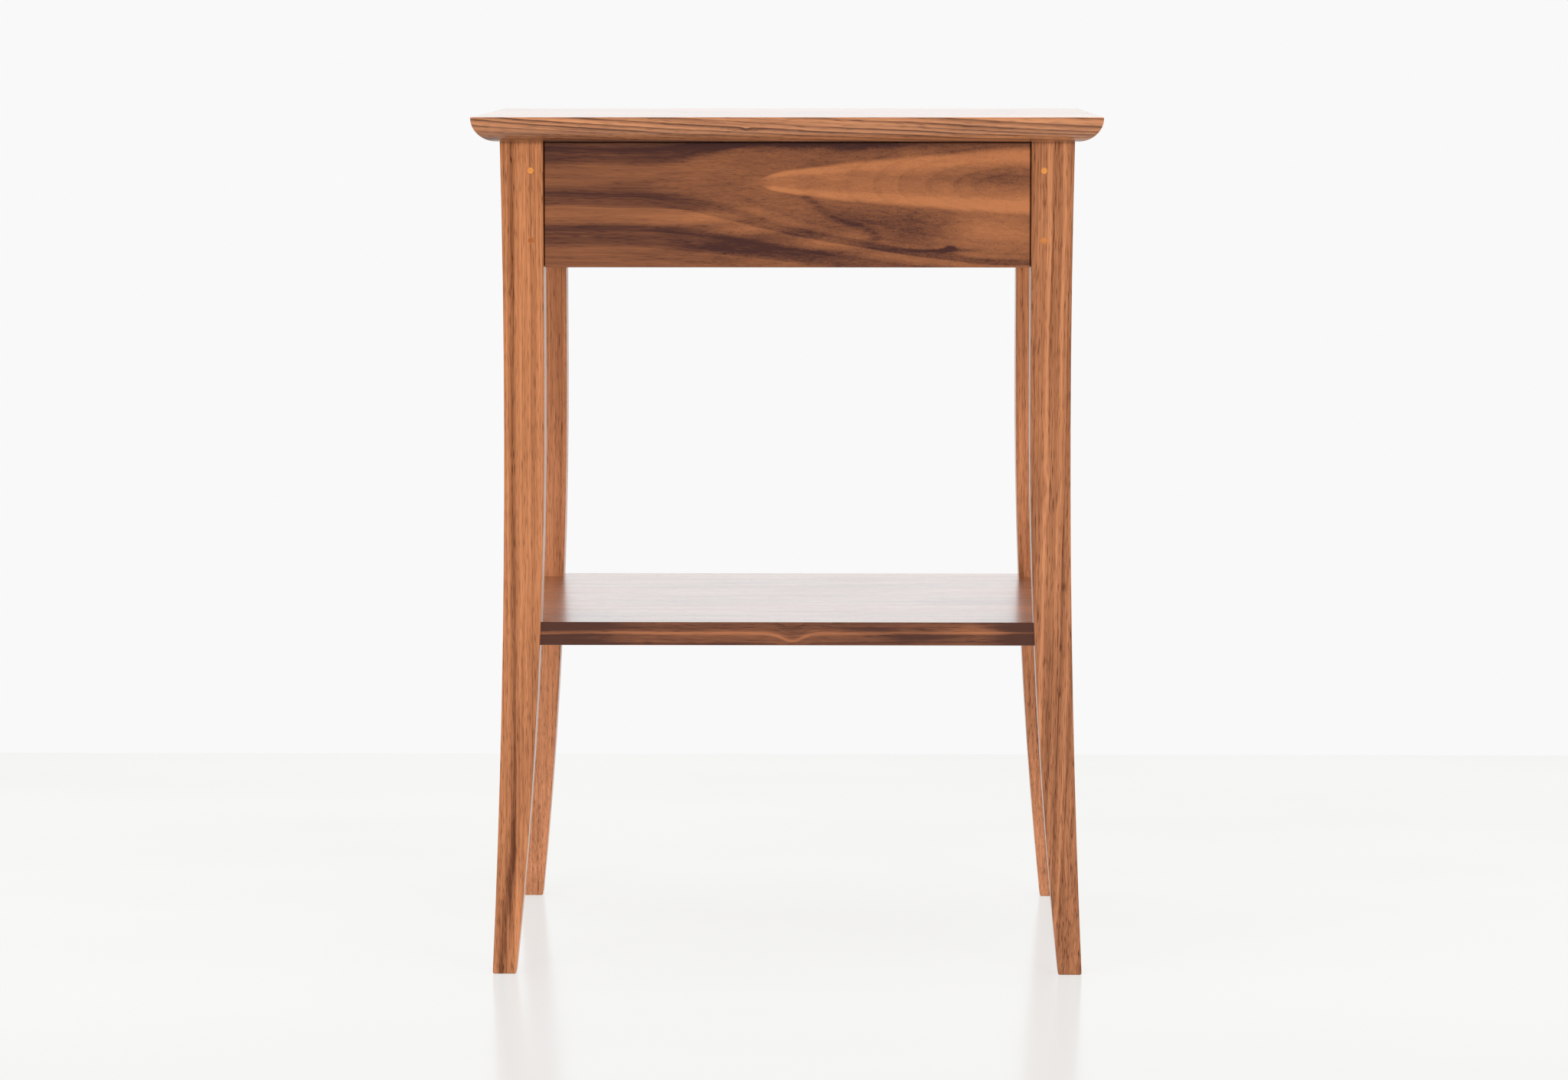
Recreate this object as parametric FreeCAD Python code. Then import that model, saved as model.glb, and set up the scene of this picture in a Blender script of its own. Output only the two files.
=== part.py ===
"""Walnut side table with one drawer and a lower shelf.

Row frame: millimetres, +Z up, origin on the floor under the middle of the table, -Y is the drawer side.
Legs are square in section, hollowed on their outer faces and swept outwards below the knee.
Aprons are tenoned and pegged into the legs, the shelf is notched round them, and the drawer is a
dovetailed box with an applied front that slides on wooden runners.
"""

import FreeCAD, Part

import math
import os

V = FreeCAD.Vector
X, Y, Z = V(1, 0, 0), V(0, 1, 0), V(0, 0, 1)
ORIGIN = V(0, 0, 0)

# Overall sizes
HEIGHT = 699.5
TOP_WIDTH = 508.0
TOP_DEPTH = 406.0
TOP_THICK = 20.0
OVERHANG = 22.0
TOP_ARRIS = 0.8  # radius of the tabletop's upper edge
TOP_UNDERCUT = 20.8  # reach of the quarter ellipse under the edge

# Legs
LEG_TOP = 35.0  # square section where the aprons join
KNEE_Z = 476.0  # height where both faces of a leg run vertical
OUTER_RADIUS = 10000.0  # long hollow of the outer faces
INNER_RADIUS = 4550.0  # sweep of the inner faces below the knee
LEG_EDGE = 1.2
FOOT_EDGE = 1.6

# Aprons and their joints
APRON_HEIGHT = 101.5
APRON_THICK = 19.0
REVEAL = 3.0  # setback of aprons, drawer front and shelf from the leg faces
TENON_THICK = 8.0
TENON_LENGTH = 17.0
TENON_SHOULDER = 8.0
GLUE_ROOM = 0.5
EDGE = 0.8  # small round on the free edges of boards
FIT = 0.05  # radial clearance round pegs, dowels and screws
NEAR_ZERO = 0.01
PAST = 1.0  # how far a cutting shape reaches past the face that it cuts

# Pegs through the tenons
PEG_RADIUS = 2.4
PEG_SETBACK = 10.2  # from the tenon's shoulder
PEG_DROP = 23.3  # upper peg, below the top of the leg
PEG_SPACING = 56.3
PEG_PROUD = 0.2
FRONT_PEG_DEPTH = 33.5
BACK_PEG_DEPTH = 21.0
SIDE_PEG_DEPTH = 17.2

# Shelf
SHELF_TOP_Z = 289.0
SHELF_THICK = 19.0
DOWEL_RADIUS = 4.0
DOWEL_IN_LEG = 13.0
DOWEL_IN_SHELF = 17.0
DOWEL_INSET = 16.0  # from the outer face of the leg

# Drawer front and the opening behind it
FRONT_THICK = 16.0
FRONT_GAP = 0.8  # at each end and under the tabletop
STOP_GAP = 0.3  # between the applied front and the front apron
RAIL_STRIP = 20.0  # apron left above the drawer opening
OPENING_HEIGHT = 62.0
OPENING_WIDTH = 371.0
FINGER_RADIUS = 9.0
FINGER_LENGTH = 150.0

# Drawer box
BOX_SIDE_CLEAR = 1.0
BOX_FLOOR_CLEAR = 0.5
BOX_TOP_CLEAR = 1.0
BOX_LENGTH = 312.0
BOX_THICK = 12.0
BOTTOM_THICK = 6.0
BOTTOM_UP = 8.0  # groove above the lower edge of the sides
GROOVE_DEPTH = 6.0
TAIL_SLOPE = 1.0 / 7.0
TAIL_SHARE = 0.77  # share of each pitch that a tail takes at its wide end
FRONT_TAILS = 3
BACK_TAILS = 2

# Runners, guides, kickers
RUNNER_INNER_X = 172.0
RUNNER_HEIGHT = 19.0
GUIDE_CLEAR = 1.3
GUIDE_HEIGHT = 20.0
KICKER_CLEAR = 1.5
STUB_LENGTH = 6.0
STUB_WIDTH = 16.0
STUB_THICK = 8.0

# Screws
SCREW_RADIUS = 2.0
HEAD_RADIUS = 4.0
HEAD_HEIGHT = 2.6
INTO_TOP = 12.0
COUNTERBORE_RADIUS = 4.8
COUNTERBORE_DEPTH = 4.0
SLOT_TRAVEL = 4.4
KICKER_SCREW_Y = 80.0
FRONT_SCREW_X = 120.0
BOTTOM_SCREW_X = 90.0
BOTTOM_SCREW_LENGTH = 20.0
DRAWER_SCREW_X = 120.0
DRAWER_SCREW_LENGTH = 22.0
DRAWER_SCREW_UP = (28.0, 48.0)  # above the lower edge of the box
HEAD_ROUND = 1.6
DRIVER_REACH = 2.4
DRIVER_WIDTH = 1.0
DRIVER_DEPTH = 1.2

# Wooden buttons that hold the back of the tabletop
BUTTON_X = 100.0
BUTTON_WIDTH = 25.0
BUTTON_BODY = 28.0
BUTTON_TONGUE = 6.5
BUTTON_GROOVE_Z = 7.5  # top of the groove, below the top of the apron
BUTTON_GROOVE_HEIGHT = 8.0
BUTTON_GROOVE_DEPTH = 8.0
BUTTON_GROOVE_EXTRA = 6.0
BUTTON_TOP_GAP = 1.0
BUTTON_SIDE_GAP = 1.0  # between the block and the apron
BUTTON_TONGUE_THICK = 7.5

# Turning stop inside the drawer back
STOP_THICK = 6.0
STOP_HALF_WIDTH = 7.0
STOP_UP = 17.0  # straight length above the pivot, before the rounded end
STOP_DOWN = 5.0
STOP_PIVOT_DROP = 13.5  # pivot below the top of the drawer back
STOP_SCREW_RADIUS = 1.8
STOP_HEAD_GAP = 0.3
STOP_SCREW_SHY = 2.5  # from the screw's tip to the outside of the drawer back

# Worked out from the sizes above
HALF_W = TOP_WIDTH / 2 - OVERHANG
HALF_D = TOP_DEPTH / 2 - OVERHANG
LEG_HEIGHT = HEIGHT - TOP_THICK
APRON_Z = LEG_HEIGHT - APRON_HEIGHT
INNER_X = HALF_W - LEG_TOP
INNER_Y = HALF_D - LEG_TOP
OPENING_TOP = LEG_HEIGHT - RAIL_STRIP
OPENING_Z = OPENING_TOP - OPENING_HEIGHT
FRONT_FACE_Y = -HALF_D + REVEAL
FRONT_BACK_Y = FRONT_FACE_Y + FRONT_THICK
APRON_FRONT_Y = FRONT_BACK_Y + STOP_GAP  # face of the front apron, behind the applied front
APRON_FRONT_THICK = -INNER_Y - APRON_FRONT_Y
BACK_INNER_Y = HALF_D - REVEAL - APRON_THICK
SIDE_INNER_X = HALF_W - REVEAL - APRON_THICK
BOX_HALF = OPENING_WIDTH / 2 - BOX_SIDE_CLEAR
BOX_Z = OPENING_Z + BOX_FLOOR_CLEAR
BOX_TOP = OPENING_TOP - BOX_TOP_CLEAR
BOX_END_Y = FRONT_BACK_Y + BOX_LENGTH
BOTTOM_Z = BOX_Z + BOTTOM_UP
BACK_Z = BOTTOM_Z + BOTTOM_THICK
BOX_INNER = BOX_HALF - BOX_THICK
STOP_Y = BOX_END_Y - BOX_THICK - STOP_THICK
STOP_PIVOT_Z = BOX_TOP - STOP_PIVOT_DROP


def block(x0, x1, y0, y1, z0, z1):
    """A box between two corners, given in any order along each axis."""
    low = V(min(x0, x1), min(y0, y1), min(z0, z1))
    return Part.makeBox(abs(x1 - x0), abs(y1 - y0), abs(z1 - z0), low)


def rod(radius, start, end):
    """A round bar from one point to another."""
    along = end - start
    return Part.makeCylinder(radius, along.Length, start, along)


def flip_x(shape):
    return shape.mirror(ORIGIN, X)


def flip_y(shape):
    return shape.mirror(ORIGIN, Y)


def both_sides(shape):
    return [shape, flip_x(shape)]


def group(shapes):
    return Part.makeCompound(shapes)


def cut_all(shape, tools):
    for tool in tools:
        shape = shape.cut(tool)
    return shape


def merged(shape):
    """Joins the coplanar faces that a fuse leaves."""
    return shape.removeSplitter()


def sagitta(radius, reach):
    """How far an arc leaves its tangent after reach along the tangent."""
    return radius - math.sqrt(radius**2 - reach**2)


def outer_inset(z):
    """How far a leg's outer face stands inside the frame's nominal face at height z."""
    knee = sagitta(OUTER_RADIUS, LEG_HEIGHT - KNEE_Z)
    return knee - sagitta(OUTER_RADIUS, abs(z - KNEE_Z))


def inner_inset(z):
    """How far a leg's inner face stands inside the frame's nominal face at height z."""
    return LEG_TOP - sagitta(INNER_RADIUS, max(KNEE_Z - z, 0.0))


def round_edges(shape, radius, wanted):
    """Rounds the edges that wanted picks."""
    edges = [e for e in shape.Edges if wanted(e)]
    return shape.makeFillet(radius, edges)


def edges_along(axis, **at):
    """Picks the edges of a box that run along an axis and lie on the given coordinates."""

    def test(edge):
        run = edge.Vertexes[1].Point - edge.Vertexes[0].Point
        if abs(run.dot(axis)) < NEAR_ZERO:
            return False
        middle = edge.CenterOfMass
        return all(abs(getattr(middle, k) - v) < NEAR_ZERO for k, v in at.items())

    return test


# Tabletop


def top_section(half, to_point):
    """Closed outline of the tabletop's edge profile across one direction."""
    thick, arris = TOP_THICK, TOP_ARRIS
    big = thick - arris
    lean = math.sqrt(0.5)

    def side(sign):
        def at(inward, up):
            return to_point(sign * (half - inward), LEG_HEIGHT + up)

        ellipse = Part.Ellipse(at(0, big), at(TOP_UNDERCUT, 0), at(TOP_UNDERCUT, big))
        under = Part.ArcOfEllipse(ellipse, 0, math.pi / 2).toShape()
        over = Part.Arc(
            at(0, big), at(arris * (1 - lean), thick - arris * (1 - lean)), at(arris, thick)
        ).toShape()
        return at(TOP_UNDERCUT, 0), at(arris, thick), [under, over]

    low_r, high_r, right = side(1)
    low_l, high_l, left = side(-1)
    bottom = Part.makeLine(low_l, low_r)
    top = Part.makeLine(high_r, high_l)
    wire = Part.Wire(Part.__sortEdges__([bottom, *right, top, *left]))
    return Part.Face(wire)


def plain_tabletop():
    across_x = top_section(TOP_WIDTH / 2, lambda s, z: V(s, -TOP_DEPTH, z)).extrude(Y * 2 * TOP_DEPTH)
    across_y = top_section(TOP_DEPTH / 2, lambda s, z: V(-TOP_WIDTH, s, z)).extrude(X * 2 * TOP_WIDTH)
    return across_x.common(across_y)


# Legs


def leg_section(half, to_point):
    """Closed outline of a leg in one elevation, on the negative side of the table."""

    def at(inset, z):
        return to_point(-half + inset, z)

    inner = Part.Arc(
        at(LEG_TOP, KNEE_Z), at(inner_inset(KNEE_Z / 2), KNEE_Z / 2), at(inner_inset(0), 0)
    ).toShape()
    outer = Part.Arc(
        at(outer_inset(0), 0), at(outer_inset(KNEE_Z), KNEE_Z), at(0, LEG_HEIGHT)
    ).toShape()
    lines = [
        Part.makeLine(at(0, LEG_HEIGHT), at(LEG_TOP, LEG_HEIGHT)),
        Part.makeLine(at(LEG_TOP, LEG_HEIGHT), at(LEG_TOP, KNEE_Z)),
        Part.makeLine(at(inner_inset(0), 0), at(outer_inset(0), 0)),
    ]
    return Part.Face(Part.Wire(Part.__sortEdges__([inner, outer, *lines])))


def plain_leg():
    """Front left leg before its mortises: one profile seen from the front and from the side."""
    span = 4 * LEG_TOP
    seen_front = leg_section(HALF_W, lambda s, z: V(s, -HALF_D - LEG_TOP, z)).extrude(Y * span)
    seen_side = leg_section(HALF_D, lambda s, z: V(-HALF_W - LEG_TOP, s, z)).extrude(X * span)
    leg = seen_front.common(seen_side).Solids[0]
    leg = round_edges(leg, LEG_EDGE, lambda e: e.BoundBox.ZLength > LEG_TOP)
    return round_edges(leg, FOOT_EDGE, lambda e: e.BoundBox.ZMax < NEAR_ZERO)


def front_tenon_depths():
    """Near and far faces of the front apron's tenon, from the leg's front face."""
    middle = LEG_TOP - APRON_FRONT_THICK / 2
    return middle - TENON_THICK / 2, middle + TENON_THICK / 2


def apron_tenon_depths():
    """Near and far faces of the other aprons' tenons, from the leg's outer face."""
    middle = REVEAL + APRON_THICK / 2
    return middle - TENON_THICK / 2, middle + TENON_THICK / 2


def tenon_heights():
    return APRON_Z + TENON_SHOULDER, LEG_HEIGHT - TENON_SHOULDER


def cross_tenon(depths, length):
    """Left tenon of a board that runs along X, in the front left leg."""
    return block(
        -INNER_X - length, -INNER_X, -HALF_D + depths[0], -HALF_D + depths[1], *tenon_heights()
    )


def side_tenon(length):
    """Front tenon of the left side apron, in the front left leg."""
    near, far = apron_tenon_depths()
    return block(-HALF_W + near, -HALF_W + far, -INNER_Y - length, -INNER_Y, *tenon_heights())


# Pegs


def peg_heights():
    upper = LEG_HEIGHT - PEG_DROP
    return [upper, upper - PEG_SPACING]


def face_pegs(depth, radius, proud):
    """Pegs that enter the front left leg from its front face."""
    x = -INNER_X - PEG_SETBACK
    made = []
    for z in peg_heights():
        face = -HALF_D + outer_inset(z)
        made.append(rod(radius, V(x, face - proud, z), V(x, -HALF_D + depth, z)))
    return made


def edge_pegs(depth, radius, proud):
    """Pegs that enter the front left leg from its left face."""
    y = -INNER_Y - PEG_SETBACK
    made = []
    for z in peg_heights():
        face = -HALF_W + outer_inset(z)
        made.append(rod(radius, V(face - proud, y, z), V(-HALF_W + depth, y, z)))
    return made


def all_pegs(radius, proud, extra):
    """Every peg by the face that it shows on."""
    front = face_pegs(FRONT_PEG_DEPTH + extra, radius, proud)
    back = [flip_y(p) for p in face_pegs(BACK_PEG_DEPTH + extra, radius, proud)]
    left = edge_pegs(SIDE_PEG_DEPTH + extra, radius, proud)
    left += [flip_y(p) for p in left]
    return {
        "front": front + [flip_x(p) for p in front],
        "back": back + [flip_x(p) for p in back],
        "left": left,
        "right": [flip_x(p) for p in left],
    }


def peg_holes():
    holes = all_pegs(PEG_RADIUS + FIT, LEG_TOP, GLUE_ROOM / 2)
    return [p for face in holes.values() for p in face]


# Shelf dowels


def shelf_dowel(radius, extra):
    """Dowel between the front left leg and the shelf."""
    z = SHELF_TOP_Z - SHELF_THICK / 2
    face = -HALF_W + inner_inset(z)
    y = -HALF_D + DOWEL_INSET
    return rod(radius, V(face - DOWEL_IN_LEG - extra, y, z), V(face + DOWEL_IN_SHELF + extra, y, z))


def shelf_dowels(radius, extra):
    left = [shelf_dowel(radius, extra)]
    left.append(flip_y(left[0]))
    return left + [flip_x(d) for d in left]


def legs():
    """The four legs, each cut for its tenons, pegs and shelf dowel."""
    blank = plain_leg()
    side_mortise = side_tenon(TENON_LENGTH + GLUE_ROOM)
    holes = peg_holes() + shelf_dowels(DOWEL_RADIUS + FIT, GLUE_ROOM)
    front_mortise = cross_tenon(front_tenon_depths(), TENON_LENGTH + GLUE_ROOM)
    back_mortise = cross_tenon(apron_tenon_depths(), TENON_LENGTH + GLUE_ROOM)
    front = blank.cut(front_mortise).cut(side_mortise)
    rear = flip_y(blank.cut(back_mortise).cut(side_mortise))
    made = {
        "leg_front_left": front,
        "leg_front_right": flip_x(front),
        "leg_rear_left": rear,
        "leg_rear_right": flip_x(rear),
    }
    return {name: cut_all(leg, near(leg, holes)) for name, leg in made.items()}


def near(shape, tools):
    """The tools whose boxes meet the shape's box."""
    return [t for t in tools if t.BoundBox.intersect(shape.BoundBox)]


# Runners and kickers, which are housed in the front and back aprons


def slide_rail(z0, z1):
    """Left bar under or over the drawer's side, notched round the rear leg, with stub tenons."""
    bar = block(-SIDE_INNER_X, -RUNNER_INNER_X, -INNER_Y, BACK_INNER_Y, z0, z1)
    notch = block(-SIDE_INNER_X - PAST, -INNER_X, INNER_Y, BACK_INNER_Y + PAST, z0 - PAST, z1 + PAST)
    bar = bar.cut(notch)
    return merged(bar.fuse(stub_tenons(z0, z1, 0)))


def stub_tenons(z0, z1, extra):
    middle = (z0 + z1) / 2
    x = -RUNNER_INNER_X - STUB_THICK / 2
    low, high = middle - STUB_THICK / 2, middle + STUB_THICK / 2
    reach = STUB_LENGTH + extra
    front = block(x - STUB_WIDTH, x, -INNER_Y - reach, -INNER_Y, low, high)
    back = block(x - STUB_WIDTH, x, BACK_INNER_Y, BACK_INNER_Y + reach, low, high)
    return group([front, back])


def runner_heights():
    return OPENING_Z - RUNNER_HEIGHT, OPENING_Z


def kicker_heights():
    return BOX_TOP + KICKER_CLEAR, LEG_HEIGHT


def rail_sockets():
    """Sockets for the stub tenons of runners and kickers, on both sides."""
    made = []
    for heights in (runner_heights(), kicker_heights()):
        left = stub_tenons(*heights, GLUE_ROOM)
        made += both_sides(left)
    return made


# Screws


def screw(head_end, tip, radius=SCREW_RADIUS):
    """A pan-head screw: the head stands behind head_end, and the shank runs from there to tip."""
    along = (tip - head_end).normalize()
    shank = rod(radius, head_end, tip)
    head = rod(HEAD_RADIUS, head_end - along * HEAD_HEIGHT, head_end)
    back = head_end - along * HEAD_HEIGHT
    head = round_edges(head, HEAD_ROUND, lambda e: e.CenterOfMass.distanceToPoint(back) < NEAR_ZERO)
    return merged(shank.fuse(head).cut(driver_cross(back, along)))


def driver_cross(face, along):
    """Cross recess in a screw head."""
    across = X if abs(along.dot(X)) < 0.5 else Y
    other = along.cross(across)
    bars = []
    for a, b in ((across, other), (other, across)):
        corner = face - a * DRIVER_REACH - b * (DRIVER_WIDTH / 2)
        end = corner + a * 2 * DRIVER_REACH
        ring = [corner, end, end + b * DRIVER_WIDTH, corner + b * DRIVER_WIDTH, corner]
        bars.append(Part.Face(Part.makePolygon(ring)).extrude(along * DRIVER_DEPTH))
    return bars[0].fuse(bars[1])


def kicker_screw_points():
    x = -(RUNNER_INNER_X + SIDE_INNER_X) / 2
    z = kicker_heights()[0] + COUNTERBORE_DEPTH
    return [V(x, y, z) for y in (-KICKER_SCREW_Y, KICKER_SCREW_Y)]


def front_screw_point():
    y = APRON_FRONT_Y + APRON_FRONT_THICK / 2
    return V(-FRONT_SCREW_X, y, OPENING_TOP + COUNTERBORE_DEPTH)


def button_screw_point():
    y = BACK_INNER_Y - BUTTON_SIDE_GAP - BUTTON_BODY / 2
    return V(-BUTTON_X, y, button_bottom())


def button_bottom():
    return LEG_HEIGHT - BUTTON_GROOVE_Z - BUTTON_TONGUE_THICK


def up_screw(point):
    return screw(point, V(point.x, point.y, LEG_HEIGHT + INTO_TOP))


def top_screws():
    """Screws that hold the tabletop, by what they pass through, on both sides."""
    sets = {
        "kicker_screws": [up_screw(p) for p in kicker_screw_points()],
        "front_apron_screws": [up_screw(front_screw_point())],
        "button_screws": [up_screw(button_screw_point())],
    }
    return {name: made + [flip_x(s) for s in made] for name, made in sets.items()}


def tabletop():
    points = kicker_screw_points() + [front_screw_point(), button_screw_point()]
    top = plain_tabletop()
    for p in points:
        start = V(p.x, p.y, LEG_HEIGHT - PAST)
        hole = rod(SCREW_RADIUS + FIT, start, V(p.x, p.y, LEG_HEIGHT + INTO_TOP + FIT))
        top = cut_all(top, both_sides(hole))
    return top


def counterbored(shape, point, travel=0.0):
    """Cuts a screw hole upwards through shape, slotted along Y by travel, with a recess for the head."""
    for radius, z0, z1 in (
        (COUNTERBORE_RADIUS, point.z - COUNTERBORE_DEPTH - PAST, point.z),
        (SCREW_RADIUS + FIT, point.z - PAST, LEG_HEIGHT + PAST),
    ):
        ends = [V(point.x, point.y + s * travel / 2, z0) for s in ((-1, 1) if travel else (0,))]
        for end in ends:
            shape = shape.cut(rod(radius, end, V(end.x, end.y, z1)))
        if travel:
            shape = shape.cut(
                block(point.x - radius, point.x + radius, ends[0].y, ends[1].y, z0, z1)
            )
    return shape


def kicker():
    bar = slide_rail(*kicker_heights())
    for p in kicker_screw_points():
        bar = counterbored(bar, p, SLOT_TRAVEL)
    return bar


# Aprons


def front_apron():
    """Board behind the applied drawer front, with the drawer opening cut through it."""
    board = block(-INNER_X, INNER_X, APRON_FRONT_Y, -INNER_Y, APRON_Z, LEG_HEIGHT)
    opening = block(
        -OPENING_WIDTH / 2, OPENING_WIDTH / 2, APRON_FRONT_Y - PAST, -INNER_Y + PAST, OPENING_Z, OPENING_TOP
    )
    board = board.cut(opening)
    for tenon in both_sides(cross_tenon(front_tenon_depths(), TENON_LENGTH)):
        board = board.fuse(tenon)
    board = merged(board).cut(finger_groove(APRON_FRONT_Y))
    board = cut_all(board, rail_sockets() + all_pegs(PEG_RADIUS + FIT, 0, GLUE_ROOM)["front"])
    for x in (-1, 1):
        p = front_screw_point()
        board = counterbored(board, V(p.x * x, p.y, p.z))
    return board


def finger_groove(y):
    """Round-ended groove along the lower edge at depth y, where fingertips take hold."""
    half = FINGER_LENGTH / 2
    bar = rod(FINGER_RADIUS, V(-half, y, APRON_Z), V(half, y, APRON_Z))
    for x in (-half, half):
        bar = bar.fuse(Part.makeSphere(FINGER_RADIUS, V(x, y, APRON_Z)))
    return bar


def back_apron():
    board = block(-INNER_X, INNER_X, BACK_INNER_Y, HALF_D - REVEAL, APRON_Z, LEG_HEIGHT)
    board = round_edges(board, EDGE, edges_along(X, z=APRON_Z))
    for tenon in both_sides(flip_y(cross_tenon(apron_tenon_depths(), TENON_LENGTH))):
        board = board.fuse(tenon)
    board = cut_all(merged(board), rail_sockets() + all_pegs(PEG_RADIUS + FIT, 0, 0)["back"])
    return cut_all(board, both_sides(button_groove()))


def button_groove():
    half = BUTTON_WIDTH / 2 + BUTTON_GROOVE_EXTRA
    top = LEG_HEIGHT - BUTTON_GROOVE_Z
    return block(
        -BUTTON_X - half,
        -BUTTON_X + half,
        BACK_INNER_Y - PAST,
        BACK_INNER_Y + BUTTON_GROOVE_DEPTH,
        top - BUTTON_GROOVE_HEIGHT,
        top,
    )


def side_apron():
    """Left side apron."""
    board = block(-HALF_W + REVEAL, -SIDE_INNER_X, -INNER_Y, INNER_Y, APRON_Z, LEG_HEIGHT)
    board = round_edges(board, EDGE, edges_along(Y, z=APRON_Z))
    tenon = side_tenon(TENON_LENGTH)
    board = merged(board.fuse(tenon).fuse(flip_y(tenon)))
    return cut_all(board, all_pegs(PEG_RADIUS + FIT, 0, 0)["left"])


def top_button():
    """Left wooden button: a block under the tabletop with a tongue in the back apron's groove."""
    z0 = button_bottom()
    x0, x1 = -BUTTON_X - BUTTON_WIDTH / 2, -BUTTON_X + BUTTON_WIDTH / 2
    face = BACK_INNER_Y - BUTTON_SIDE_GAP
    body = block(x0, x1, face - BUTTON_BODY, face, z0, LEG_HEIGHT - BUTTON_TOP_GAP)
    body = round_edges(body, EDGE, edges_along(X, y=face - BUTTON_BODY))
    tongue = block(x0, x1, face, BACK_INNER_Y + BUTTON_TONGUE, z0, z0 + BUTTON_TONGUE_THICK)
    made = merged(body.fuse(tongue))
    p = button_screw_point()
    return made.cut(rod(SCREW_RADIUS + FIT, V(p.x, p.y, z0 - PAST), V(p.x, p.y, LEG_HEIGHT)))


# Guides


def guide():
    """Left guide strip, which keeps the drawer in line beside its side."""
    return block(
        -SIDE_INNER_X,
        -BOX_HALF - GUIDE_CLEAR,
        -INNER_Y,
        INNER_Y,
        OPENING_Z,
        OPENING_Z + GUIDE_HEIGHT,
    )


# Shelf


def shelf(four_legs):
    """One board notched round the legs."""
    edge_x, edge_y = HALF_W - REVEAL, HALF_D - REVEAL
    board = block(-edge_x, edge_x, -edge_y, edge_y, SHELF_TOP_Z - SHELF_THICK, SHELF_TOP_Z)
    board = round_edges(board, EDGE, lambda e: e.BoundBox.ZLength < NEAR_ZERO)
    board = cut_all(board, four_legs)
    return cut_all(board, shelf_dowels(DOWEL_RADIUS + FIT, GLUE_ROOM))


# Drawer


def drawer_front():
    half = INNER_X - FRONT_GAP
    board = block(-half, half, FRONT_FACE_Y, FRONT_BACK_Y, APRON_Z, LEG_HEIGHT - FRONT_GAP)
    rims = [e for e in board.Edges if e.BoundBox.YMax < FRONT_FACE_Y + NEAR_ZERO]
    board = board.makeFillet(EDGE, rims).cut(finger_groove(FRONT_BACK_Y))
    return cut_all(board, [front_screw_hole(s) for s in drawer_screw_points()])


def tails(z0, z1, end_y, base_y, count):
    """Dovetail prisms on the left side's end: wide at end_y, narrow at base_y."""
    pitch = (z1 - z0) / count
    wide = pitch * TAIL_SHARE / 2
    narrow = wide - BOX_THICK * TAIL_SLOPE
    made = []
    for i in range(count):
        middle = z0 + pitch * (i + 0.5)
        ring = [
            V(-BOX_HALF, end_y, middle - wide),
            V(-BOX_HALF, end_y, middle + wide),
            V(-BOX_HALF, base_y, middle + narrow),
            V(-BOX_HALF, base_y, middle - narrow),
        ]
        face = Part.Face(Part.makePolygon(ring + [ring[0]]))
        made.append(face.extrude(X * BOX_THICK))
    return made


def front_tails():
    return tails(BOX_Z, BOX_TOP, FRONT_BACK_Y, FRONT_BACK_Y + BOX_THICK, FRONT_TAILS)


def back_tails():
    return tails(BACK_Z, BOX_TOP, BOX_END_Y, BOX_END_Y - BOX_THICK, BACK_TAILS)


def drawer_side():
    """Left side of the drawer box, with its tails and the groove for the bottom."""
    y0, y1 = FRONT_BACK_Y + BOX_THICK, BOX_END_Y - BOX_THICK
    board = block(-BOX_HALF, -BOX_INNER, y0, y1, BOX_Z, BOX_TOP)
    board = board.fuse(block(-BOX_HALF, -BOX_INNER, y1, BOX_END_Y, BOX_Z, BACK_Z))
    for tail in front_tails() + back_tails():
        board = board.fuse(tail)
    return merged(board).cut(drawer_bottom_blank())


def pinned_board(y0, y1, z0, tail_set):
    """A board across the drawer whose ends are cut into pins between the tails."""
    board = block(-BOX_HALF, BOX_HALF, y0, y1, z0, BOX_TOP)
    for tail in tail_set:
        board = cut_all(board, both_sides(tail))
    return board


def drawer_box_front():
    board = pinned_board(FRONT_BACK_Y, FRONT_BACK_Y + BOX_THICK, BOX_Z, front_tails())
    board = board.cut(drawer_bottom_blank())
    return cut_all(board, [front_screw_hole(s) for s in drawer_screw_points()])


def drawer_back():
    board = pinned_board(BOX_END_Y - BOX_THICK, BOX_END_Y, BACK_Z, back_tails())
    for x in (-1, 1):
        board = board.cut(bottom_screw_hole(x))
    reach = V(0, BOX_END_Y - STOP_SCREW_SHY + FIT, STOP_PIVOT_Z)
    return board.cut(rod(STOP_SCREW_RADIUS + FIT, V(0, STOP_Y, STOP_PIVOT_Z), reach))


def drawer_bottom_blank():
    half = BOX_INNER + GROOVE_DEPTH
    front = FRONT_BACK_Y + BOX_THICK - GROOVE_DEPTH
    return block(-half, half, front, BOX_END_Y, BOTTOM_Z, BACK_Z)


def drawer_bottom():
    board = drawer_bottom_blank()
    for x in (-1, 1):
        board = board.cut(bottom_screw_hole(x))
    return board


def bottom_screw_point(side):
    """Where a screw goes up through the drawer bottom into the drawer back; side is -1 or 1."""
    return V(side * BOTTOM_SCREW_X, BOX_END_Y - BOX_THICK / 2, BOTTOM_Z)


def bottom_screw(side):
    start = bottom_screw_point(side)
    return screw(start, start + Z * BOTTOM_SCREW_LENGTH)


def bottom_screw_hole(side):
    start = bottom_screw_point(side)
    return rod(SCREW_RADIUS + FIT, start - Z * PAST, start + Z * (BOTTOM_SCREW_LENGTH + FIT))


def drawer_screw_points():
    y = FRONT_BACK_Y + BOX_THICK
    return [V(x * DRAWER_SCREW_X, y, BOX_Z + up) for x in (-1, 1) for up in DRAWER_SCREW_UP]


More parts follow.
